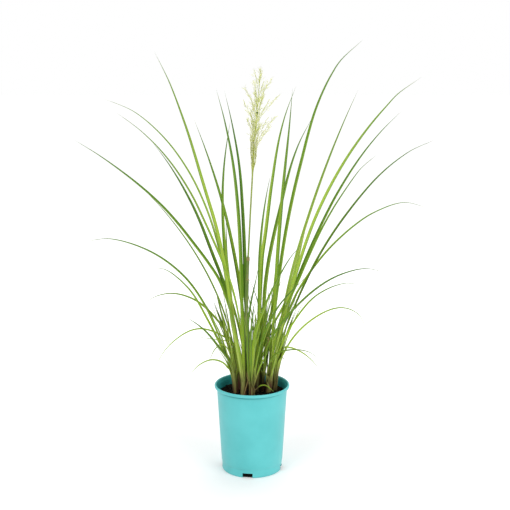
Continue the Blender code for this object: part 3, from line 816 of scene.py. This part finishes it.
def blade_places(stations, end, axis, layer):
    """Where each point of a leaf's blade goes, and its widest half width. Its foot wraps round its shoot."""
    foot = stations[0]
    sunk = [corner - Vector((0, 0, foot[3].z - SOIL_TOP + 5 * MM)) for corner in foot]
    tracks = [[sunk[k]] + [ring[k] for ring in stations] + [end] for k in range(4)]
    at = np.linspace(0, len(stations) + 1, LEAF_RINGS)
    one, groove, two, keel = (curve_through(track, at) for track in tracks)
    middle = (groove + keel) / 2
    half = np.linalg.norm(one - two, axis=1) / 2
    blunt = [1 - smooth(i, *LAST_RINGS) for i in range(LEAF_RINGS)]
    fuller = np.maximum(1.0, LEAST_HALF * np.array(blunt) / np.maximum(half, 1e-6))[:, None]
    one, two = middle + (one - middle) * fuller, middle + (two - middle) * fuller
    middle_foot = (foot[1] + foot[3]) / 2
    start, _ = axis_at(axis, middle_foot.z)
    turn = atan2(middle_foot.y - start[1], middle_foot.x - start[0])
    half = np.linalg.norm(one - two, axis=1) / 2
    widest = half.max()
    spread = min(MOST_ROUND, 1.5 * widest / (6.2 * MM) + 0.55)
    lowest_reach = axis[0][1] + LAYER_GAPS[0] + layer * LAYER_GAPS[1]
    collar_height = above(LOWEST_COLLAR + COLLAR_RANGE * chance.random())
    hold = 1.0
    rows = []
    for i in range(LEAF_RINGS):
        centre = middle[i]
        round_shoot, _ = axis_at(axis, centre[2])
        away = hypot(centre[0] - round_shoot[0], centre[1] - round_shoot[1])
        risen = smooth(centre[2], collar_height, collar_height + OPENS_OVER)
        hold = min(hold, 1 - smooth(away, *LETS_GO), 1 - risen)
        up = Vector(groove[i] - keel[i]).normalized()
        size = min(1.0, half[i] / RIB_FADES)
        reach = lowest_reach * (1 - 0.2 * smooth(centre[2], SOIL_TOP, SOIL_TOP + DRAWN_IN))
        row = []
        for across, face in section(LEAF_SIDES):
            edge = one[i] if across >= 0 else two[i]
            flat = Vector(centre + (edge - centre) * abs(across))
            flat += up * (0.10 * half[i] * sin(pi * abs(across)))
            rib = exp(-(across / 0.2) ** 2)
            thick = (HALF_THICK + (RIB_RAISED if face < 0 else -RIB_SUNK) * rib) * size
            blade = flat + up * (face * thick)
            if hold > 0:
                wrap = on_sheath(round_shoot, centre[2], turn + across * spread, reach, across, face)
                blade = blade.lerp(wrap, hold)
            row.append(blade)
        rows.append(row)
    return rows, widest


def leaf_finish(name, light, deep, glow):
    """A satin blade: one half painted lighter than the other as painted light, fine veins and broad bands, a
    pale midrib, yellower and lighter low down by its glow, partly painted light, bluer green towards the
    tip, a sheath colour at its foot, and painted shade at the feet."""
    made, tree = new_finish(
        name, 0.42, Specular_IOR_Level=0.15, Subsurface_Weight=0.08, Subsurface_Scale=0.6 * MM)
    lines, streaks, bands, midrib = from_group(tree, veins, 0.42, 0.5)
    across, along, own = (piece_value(tree, value) for value in GRASS_VALUES)
    # Painted light: one half of each blade, chosen by its chance, is lighter and the other darker, as if its
    # fold caught the light on one side.
    lit = (across * (own - 0.5).worked("SIGN")).eased(-0.3, 0.3, 0.06, 0.94)
    lit = lit + streaks.eased(0.25, 0.75, -0.3, 0.3) + bands.eased(0.35, 0.65, -0.3, 0.3)
    wander = height_in(tree) + streaks.eased(0.2, 0.8, -14 * MM, 14 * MM)
    near_foot = along.eased(0.45, 0.28)
    wrap = near_foot * wander.eased(above(110), above(50))
    foot = layered(SHEATH_FOOT, (own.eased(0.3, 0.7), OLIVE_FOOT))
    colour = layered(
        deep,
        (lit, light),
        (own.eased(0.0, 1.0, 0.0, 0.18), tint(158, 182, 62)),
        (along.eased(0.42, 0.9, 0.0, 0.62), tint(80, 124, 44)),
        (lines.eased(0.2, 1.0, 0.0, 0.2), tint(44, 78, 16)),
        (midrib * (0.15 + 0.4 * glow), tint(176, 204, 106)),
        # Lighter and yellower low down: partly the young blade's own colour and partly painted light against
        # the clump's shade.
        (wander.eased(above(290), above(60), 0.0, glow), tint(162, 190, 54)),
        (near_foot * wander.eased(above(76), above(28)), SHEATH_MIDDLE),
        (near_foot * wander.eased(above(36), above(6)), foot),
        (wrap * bands.eased(0.52, 0.64, 0.0, 0.6), DARK_BAND),
        (wrap * bands.eased(0.47, 0.36, 0.0, 0.5), PALE_BAND),
        (along.eased(0.86, 1.0, 0.0, 0.6), tint(130, 146, 112)),
        # Painted shade darkens the feet near the soil and in the middle of the clump.
        (from_group(tree, foot_shade)[0], FOOT_SHADE_COLOUR))
    return coated(made, colour, lines, 0.05 * MM, 0.6, streaks.eased(0.2, 0.8, 0.34, 0.5))


leaf_colours = {
    "leaf_bright": leaf_finish("bright_blade", tint(172, 200, 76), tint(118, 158, 34), 0.7),
    "leaf_mid": leaf_finish("green_blade", tint(140, 174, 46), tint(84, 126, 12), 0.65),
    "leaf_dark": leaf_finish("dark_blade", tint(98, 138, 32), tint(44, 84, 6), 0.2),
}
pale_blade = leaf_finish("pale_blade", tint(192, 212, 112), tint(150, 182, 66), 0.6)
PALE_LEAVES = ("leaf_22", "leaf_40", "leaf_42", "leaf_30")
layers = dict.fromkeys(stem_axes, 0)
for name in leaves:
    stations, end = leaf_stations(name)
    foot = sum(stations[0], Vector()) / 4
    home = min(stem_axes, key=lambda s: (Vector(axis_at(stem_axes[s], foot.z)[0]) - foot).length)
    places, widest = blade_places(stations, end, stem_axes[home], layers[home])
    layers[home] += 1
    finish = pale_blade if name in PALE_LEAVES else leaf_colours[tones[name]]
    grown = grass_piece(places, widest, foot_chance(stem_axes[home]))
    blade = finished(f"{name}_blade", grown, finish, sharp=80)
    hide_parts(name)
    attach(blade, "root")

# The short grass in the heart
# Young and broken blades fill the clump between its main leaves, from the soil to about its middle. Each
# grows from one of the shoots. A few have dried to tan or brown strips that hang on round the feet.

CAMERA_PLACE = (0.0069, -2.2, 0.944)  # the points of two tables below are as seen from it
HEART_BLADES = 17  # on each shoot
HEART_TOPS = (235 * MM, 440 * MM)  # the heights at which they end
HEART_WIDTHS = (1.8 * MM, 4.8 * MM)
FREE_RINGS = 24
FREE_SIDES = 8
FRONT = Vector((0, -1, 0))


def blade_rows(points, width, twist, fold):
    """A free blade through a few points: widest near its middle, drawn out to a fine point, and folded along
    its length by some degrees."""
    centres = curve_through(points, np.linspace(0, len(points) - 1, FREE_RINGS))
    heading = Vector(centres[-1] - centres[0])
    flat = Vector((heading.x, heading.y, 0)) if heading.xy.length > 1 * MM else Vector((1, 0, 0))
    across = Vector((0, 0, 1)).cross(flat.normalized())
    side = 1 if heading.y > 0 else -1
    rows = []
    for i, centre in enumerate(centres):
        along = Vector(centres[min(i + 1, FREE_RINGS - 1)] - centres[max(i - 1, 0)]).normalized()
        way = across + (FRONT * side).cross(along).normalized() * twist
        way = (way - along * way.dot(along)).normalized()
        up = along.cross(way)
        share = i / (FREE_RINGS - 1)
        half = width / 2 * min(1.0, 0.55 + 2 * share) * (1 - max(0.0, (share - 0.4) / 0.6) ** 3)
        half = max(half, LEAST_HALF)
        row = []
        for out, face in section(FREE_SIDES):
            lift = up * (abs(out) * half * sin(radians(fold)) + face * HALF_THICK)
            row.append(Vector(centre) + way * (out * half * cos(radians(fold))) + lift)
        rows.append(row)
    return rows


def heart_blade(shoot):
    """A blade that leaves one shoot's roll and leans its own way."""
    axis = stem_axes[shoot]
    low = above(between(2, 60))
    top = between(*HEART_TOPS)
    centre, radius = axis_at(axis, low)
    lean = Vector(axis[-1][0] - axis[0][0])
    turn = atan2(lean.y, lean.x) + chance.gauss(0, 1.5)
    reach = between(0.04, 0.22) * (top - low)
    way = level(turn)
    start = Vector(centre) + way * radius * 0.8
    start.z = low
    middle = Vector(axis_at(axis, low + 0.5 * (top - low))[0]) + way * (radius + 0.3 * reach)
    end = Vector(axis_at(axis, top)[0]) + way * (radius + reach)
    end.z = top - 0.15 * reach
    middle.z = low + 0.52 * (top - low)
    return blade_rows([start, middle, end], between(*HEART_WIDTHS), between(0.3, 2.0), 26)


FINE_LEAVES = (  # their points as they show, from the foot up, their depth and their width, in millimetres
    (((-38, 200), (-42, 262), (-54, 298), (-85, 305), (-120, 311)), -14, 3.0),
    (((-40, 215), (-52, 276), (-68, 293), (-84, 282), (-96, 258)), -20, 3.3),
    (((54, 214), (61, 250), (68, 262), (74, 257)), 8, 2.8),
    (((26, 300), (40, 340), (50, 352), (63, 361)), -42, 1.7),
    (((6, 290), (9, 325), (9, 346), (7, 367)), -44, 2.4),
    (((-22, 205), (-29, 262), (-37, 304), (-46, 350), (-53, 400)), -36, 10.5),
    (((-6, 250), (-2, 280), (4, 313), (12, 352)), -46, 4.2),
)
FRESH_LEAVES = (  # the same, for a fan of fresh green blades that leans to the right in the clump's front
    (((-7, 200), (-3, 232), (4, 262), (10, 290)), -41, 4.6),
    (((4, 200), (8, 232), (14, 264), (21, 302)), -40, 4.2),
    (((5, 196), (13, 224), (23, 250), (39, 281)), -38, 4.4),
    (((11, 205), (18, 240), (28, 280), (37, 316)), -6, 3.8),
    (((-3, 246), (5, 280), (15, 312), (25, 342)), -44, 3.8),
    (((9, 210), (2, 250), (-4, 285), (-7, 318)), -43, 3.2),
)


def as_shown(x, z, depth):
    """The point at a depth that the camera sees at (x, z) on the upright plane through the pot's axis."""
    eye = Vector(CAMERA_PLACE)
    return eye + (Vector((x, 0, z)) * MM - eye) * ((depth * MM - eye.y) / -eye.y)


def shown_blade(points, depth, width, twist, fold, own):
    """A blade from its row in a table."""
    rows = blade_rows([as_shown(x, z, depth) for x, z in points], width * MM, twist, fold)
    return grass_piece(rows, width * MM / 2, own)


heart_colours = {
    "leaf_bright": leaf_finish("pale_heart_blade", tint(190, 208, 112), tint(144, 174, 62), 0.35),
    "leaf_mid": leaf_finish("green_heart_blade", tint(134, 166, 56), tint(90, 128, 28), 0.3),
    "leaf_dark": leaf_finish("shaded_heart_blade", tint(80, 114, 32), tint(42, 70, 12), 0.0),
}
heart = {tone: [] for tone in heart_colours}
for shoot in stem_axes:
    for _ in range(HEART_BLADES):
        tone = chance.choice(("leaf_bright", "leaf_bright", "leaf_bright", "leaf_mid", "leaf_dark"))
        heart[tone].append(grass_piece(heart_blade(shoot), 4 * MM, chance.random()))
for row in FINE_LEAVES:
    heart["leaf_bright"].append(shown_blade(*row, 2.6, 20, chance.random()))
for i, row in enumerate(FRESH_LEAVES):
    heart["leaf_mid"].append(shown_blade(*row, 2.0, 26, (i + 0.5) / len(FRESH_LEAVES)))
for tone, blades in heart.items():
    piece = joined(f"heart_{tone}", blades, heart_colours[tone])
    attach(piece, "root")

DRY_STRIPS = (  # points from the foot up and the width, all in millimetres
    (((-18.7, -36, 184), (-13.1, -36, 203), (-8.4, -36, 220), (-10.6, -36, 232), (-8.3, -36, 245),
      (-3.6, -36, 267)), 3.2),
    (((48.6, 0, 262), (48.6, 0, 289), (49.0, 0, 300), (52.1, 0, 309)), 2.6),
    (((30, -14, 290), (37.3, -30, 308), (37.9, -30, 314), (35.5, -30, 318), (31.9, -30, 319)), 3.4),
    (((35, 8, 184), (39, 9, 197), (41.3, 10, 211), (40, 9, 216)), 4.5),
    (((54, 12, 184), (55.6, 12, 198), (56.9, 12, 208), (60, 11, 214)), 2.2),
)


def straw_finish():
    made, tree = new_finish("dry_straw", 0.75, Specular_IOR_Level=0.25)
    lines, streaks, _, _ = from_group(tree, veins, 0.5, 1.5)
    tan = layered(
        tint(128, 100, 52),
        (streaks.eased(0.3, 0.7), tint(176, 158, 100)),
        (piece_value(tree, "chance").eased(0.3, 0.9, 0.0, 0.6), tint(112, 72, 48)))
    return coated(made, tan, lines, 0.1 * MM)


strips = []
for points, width in DRY_STRIPS:
    rows = blade_rows([Vector(point) * MM for point in points], width * MM, 2.0, 50)
    strips.append(grass_piece(rows, width * MM, chance.random()))
dry = joined("dry_strips", strips, straw_finish())
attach(dry, "root")

# The plume
# A young feathery flower head: a thin stalk with tiers of fine rising branches, the lowest laid close
# round it, and strings of small pale spikelets, each with a few silky hairs.

PLUME_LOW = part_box("flower_plume")[0].z
plume_axis = level_rings("flower_plume", 6)
SPIKELET_LENGTH = 6.0 * MM
SPIKELET_WIDTH = 0.9 * MM
HAIR_LENGTH = 7.5 * MM
HAIR_WIDTH = 0.14 * MM
TIER_RISE = 12 * MM
TWIG_GAP = 4.6 * MM
STALK_RINGS = 40
STALK_RADIUS = 2.0 * MM
BUNDLE_TOP = 752 * MM  # below this the branches start close together and hug the stalk
BUNDLE_LOW = PLUME_LOW - 10 * MM  # the lowest ones leave the straw just under the plume
BUNDLE_THREADS = 42
THREAD_POINTS = 12
THREAD_FOOT = 1.6 * MM  # how far from the stalk's middle each one starts
KNOT_HEIGHT = 815 * MM
KNOT_GREEN = tint(58, 92, 36)
LAST_TIER = 885 * MM
BRANCH_TOP = 906 * MM  # no fine branch ends above this
PLUME_SPREAD = (  # heights, and how far the fine branches spread from the stalk there, in millimetres
    (682, 694, 706, 722, 749, 775, 800, 830, 860, 885, 912),
    (2.8, 4.6, 6.0, 7.2, 8.8, 11, 16, 18, 15, 8, 1),
)


def on_stalk(height):
    return Vector(axis_at(plume_axis, height)[0])


def branch_tips():
    """The points of the solid plume that stand out farther from its axis than all their neighbours."""
    bm = solid_mesh("flower_plume")
    reach = {vert: (vert.co - on_stalk(vert.co.z)).length for vert in bm.verts}
    tips = []
    for vert, out in reach.items():
        if out > 1 * MM + max(reach[edge.other_vert(vert)] for edge in vert.link_edges):
            tips.append(vert.co.copy())
    bm.free()
    return sorted(tips, key=lambda tip: tip.z)


def branch_line(start, end, count=12):
    """A branch that leaves the stalk steeply and bends out to its tip."""
    pull = start.lerp(end, 0.45) + Vector((0, 0, 0.12 * (end.z - start.z)))
    shares = [i / (count - 1) for i in range(count)]
    return [start.lerp(pull, share).lerp(pull.lerp(end, share), share) for share in shares]


def plume_reach(height):
    return float(np.interp(height / MM, *PLUME_SPREAD)) * MM


def bundle_threads():
    """Long thin branches that leave the stalk low down and run up close round it."""
    lines = []
    for i in range(BUNDLE_THREADS):
        start = BUNDLE_LOW + (BUNDLE_TOP - BUNDLE_LOW) * ((i + chance.random()) / BUNDLE_THREADS) ** 1.6
        rise = between(42, 76) * MM
        turn = between(0, tau)
        share = between(0.45, 1.0)
        line = []
        for k in range(THREAD_POINTS):
            height = start + rise * k / (THREAD_POINTS - 1)
            out = THREAD_FOOT + (plume_reach(height) * share - THREAD_FOOT) * smooth(k, 0, 5)
            line.append(on_stalk(height) + level(turn + 0.05 * k) * out)
        lines.append(line)
    return lines


def fine_branches():
    """Tiers of small rising branches between the main ones, fewer near the tip."""
    lines = []
    height = BUNDLE_TOP
    while height < LAST_TIER:
        for _ in range(3 if height < KNOT_HEIGHT + 15 * MM else 1):
            turn = between(0, tau)
            top = min(height + between(24, 46) * MM, BRANCH_TOP)
            end = on_stalk(top) + level(turn) * plume_reach(top) * between(0.6, 1.0)
            lines.append(branch_line(on_stalk(height), Vector((end.x, end.y, top))))
        height += TIER_RISE
    return lines


def point_on(line, share):
    """The point at a share of a line's points, and the way that the line runs there."""
    spot = min(max(share, 0.0), 0.999) * (len(line) - 1)
    k = int(spot)
    return line[k].lerp(line[k + 1], spot - k), (line[k + 1] - line[k]).normalized()


def length_of(line):
    return sum((b - a).length for a, b in zip(line, line[1:]))


def twigs(line):
    """Short twigs along the outer part of a branch, laid forward along it like the barbs of a feather."""
    count = int(length_of(line) / TWIG_GAP)
    found = []
    for i in range(count):
        share = 0.25 + 0.7 * (i + chance.random()) / count
        start, way = point_on(line, share)
        way = (way + any_way() * 0.3).normalized()
        found.append(branch_line(start, start + way * between(8, 15) * MM * (1.15 - 0.6 * share), 5))
    return found


def pointing(place, way, length, width):
    """Where a small blank goes that stands on a place and points along a way."""
    turned_to = way.to_track_quat("Z", "Y").to_matrix().to_4x4()
    return Matrix.Translation(place) @ turned_to @ Matrix.Diagonal((width, width, length, 1))


def any_way():
    return Vector([chance.gauss(0, 1) for _ in range(3)])


def dress(line, first, spacing, spread, spikelets, hairs):
    """Sets spikelets along a branch from a share of it on, and hairs on each of them."""
    count = max(2, int(length_of(line) * (1 - first) / spacing))
    for i in range(count):
        share = first + (1 - first) * (i + between(0.0, 0.9)) / count
        place, way = point_on(line, share)
        way = (way + any_way() * spread).normalized()
        size = between(0.7, 1.1)
        spikelets.append(pointing(place, way, SPIKELET_LENGTH * size, SPIKELET_WIDTH * size))
        for _ in range(5):
            root = place + way * SPIKELET_LENGTH * between(0.1, 0.8)
            hairs.append(pointing(root, (way + any_way() * spread).normalized(),
                                  HAIR_LENGTH * between(0.6, 1.2), HAIR_WIDTH))


def husk():
    """A spikelet's blank: a closed spindle one unit long on its foot."""
    bm = bmesh.new()
    bmesh.ops.create_uvsphere(bm, u_segments=5, v_segments=5, radius=0.5)
    for vert in bm.verts:
        vert.co.z += 0.5
        vert.co.xy *= 1.25 - 0.6 * vert.co.z
    return bm


def plume_finish(name, pale, green, inner):
    """Silky cream chaff, greener by chance and near the stalk's dense middle."""
    made, tree = new_finish(
        name, 0.7, Specular_IOR_Level=0.2, Subsurface_Weight=0.6, Subsurface_Scale=3.0 * MM,
        Subsurface_Radius=(1.0, 0.95, 0.7))
    patches, _ = from_group(tree, mottle, 60.0, 1800.0)
    share = piece_value(tree, "chance").eased(0.0, 1.0, -0.2, 0.7) + patches.eased(0.3, 0.7, 0.0, 0.4)
    low = height_in(tree).eased(800 * MM, 730 * MM, 0.0, 0.55)
    return coated(made, layered(green, (share, pale), (low, inner)))


threads = bundle_threads()
lines = fine_branches()
for tip in branch_tips():
    out = (tip - on_stalk(tip.z)).xy.length
    root_height = max(PLUME_LOW + 4 * MM, tip.z - 38 * MM - 0.55 * out)
    lines.append(branch_line(on_stalk(root_height), tip, 16))
heights = np.linspace(PLUME_LOW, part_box("flower_plume")[1].z, STALK_RINGS)
stalk_radii = [STALK_RADIUS * (1 - 0.85 * share ** 0.6) for share in np.linspace(0, 1, STALK_RINGS)]
parts = [tube([on_stalk(z) for z in heights], stalk_radii, 10)]
small = [twig for line in lines for twig in twigs(line)]
for branches, radius in ((threads, 0.42 * MM), (lines, 0.36 * MM), (small, 0.18 * MM)):
    for line in branches:
        radii = [radius * (1 - 0.6 * i / (len(line) - 1)) for i in range(len(line))]
        parts.append(tube(line, radii, 5))
ball = bmesh.new()
knot_place = Matrix.Translation(on_stalk(KNOT_HEIGHT)) @ Matrix.Diagonal((2.6 * MM, 2.0 * MM, 1.7 * MM, 1))
bmesh.ops.create_icosphere(ball, subdivisions=2, radius=1.0, matrix=knot_place)
stalks = joined("plume_stalks", parts, plume_finish(
    "plume_stalk", tint(198, 204, 104), tint(156, 170, 68), tint(186, 194, 108)))
spikelets, hairs = [], []
for branches, first, spacing, spread in (
        (threads, 0.2, 6.0 * MM, 0.12),
        (lines, 0.6, 5 * MM, 0.2),
        (small, 0.15, 4.4 * MM, 0.2)):
    for line in branches:
        dress(line, first, spacing, spread, spikelets, hairs)
chaff = stamped("plume_spikelets", husk(), spikelets, plume_finish(
    "plume_chaff", tint(236, 238, 166), tint(210, 218, 122), tint(232, 234, 178)))
silk = stamped("plume_hairs", upright_cone(3, 0.5, 0.1), hairs, plume_finish(
    "plume_silk", tint(240, 240, 200), tint(220, 222, 156), tint(224, 222, 180)))
knot = finished("plume_knot", ball, sheath_finish(
    "knot_green", KNOT_GREEN, KNOT_GREEN, KNOT_GREEN, 0.7, 0.9, worn=0.05))
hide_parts("flower_plume")
for piece in (stalks, chaff, silk, knot):
    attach(piece, "root")

# The floor, the lights and the camera
# A white studio: a wide pale floor that runs into a white surround, soft light from above and from both
# sides, and the camera a little above the pot, looking slightly down.

FLOOR_SIZE = 40.0
FLOOR_GLOW = 0.56  # as the camera sees the far floor
NEAR_GLOW = 0.14  # and round the pot, where its soft shadow shows
FLOOR_CAST = 0.12  # as it lights the object
CAMERA_PITCH = 11.4
CAMERA_LENS = 71.2
WHITE = (1.0, 1.0, 1.0, 1.0)

floor_finish, tree = new_finish(
    "white_floor", 0.9, Base_Color=(0.88, 0.88, 0.88, 1.0), Specular_IOR_Level=0.0, Emission_Color=WHITE)
seen = add_node(tree, "LightPath", {}, "Is Camera Ray")
place = add_node(tree, "TexCoord", {}, "Object")
glow = add_node(tree, "VectorMath", {0: place}, "Value", operation="LENGTH").eased(
    0.2, 1.4, NEAR_GLOW, FLOOR_GLOW)
glow = add_node(tree, "Mix", {0: seen, 2: FLOOR_CAST, 3: glow})
tree.links.new(glow.socket, tree.nodes["Principled BSDF"].inputs["Emission Strength"])
ground = bmesh.new()
bmesh.ops.create_grid(ground, x_segments=1, y_segments=1, size=FLOOR_SIZE / 2)
floor = finished("studio_floor", ground, floor_finish)

world = bpy.data.worlds.new("studio")
world.use_nodes = True
bpy.context.scene.world = world
surround = world.node_tree
surround.nodes.remove(surround.nodes["Background"])
seen = add_node(surround, "LightPath", {}, "Is Camera Ray")
cast, backdrop = (add_node(surround, "Background", {0: WHITE, 1: power}) for power in (0.55, 1.0))
sky = add_node(surround, "MixShader", {0: seen, 1: cast, 2: backdrop})
surround.links.new(sky.socket, surround.nodes["World Output"].inputs["Surface"])


def soft_light(name, place, size, power):
    """A square lamp at a place, turned to the middle of the clump."""
    lamp = bpy.data.lights.new(name, "AREA")
    lamp.shape = "SQUARE"
    lamp.size = size
    lamp.energy = power
    stand = shown(name, lamp)
    stand.location = place
    stand.rotation_euler = (Vector((0, 0, 0.4)) - Vector(place)).to_track_quat("-Z", "Y").to_euler()


soft_light("key", (-1.6, -1.8, 2.6), 1.6, 35)
soft_light("fill", (1.9, -1.9, 1.5), 1.8, 36)
soft_light("top", (0.3, 0.9, 2.8), 1.6, 26)

lens = bpy.data.cameras.new("camera")
lens.lens = CAMERA_LENS
lens.sensor_width = 36.0
camera = shown("camera", lens)
camera.location = CAMERA_PLACE
camera.rotation_euler = (radians(90 - CAMERA_PITCH), 0, 0)
bpy.context.scene.camera = camera
bpy.context.scene.view_settings.view_transform = "Standard"
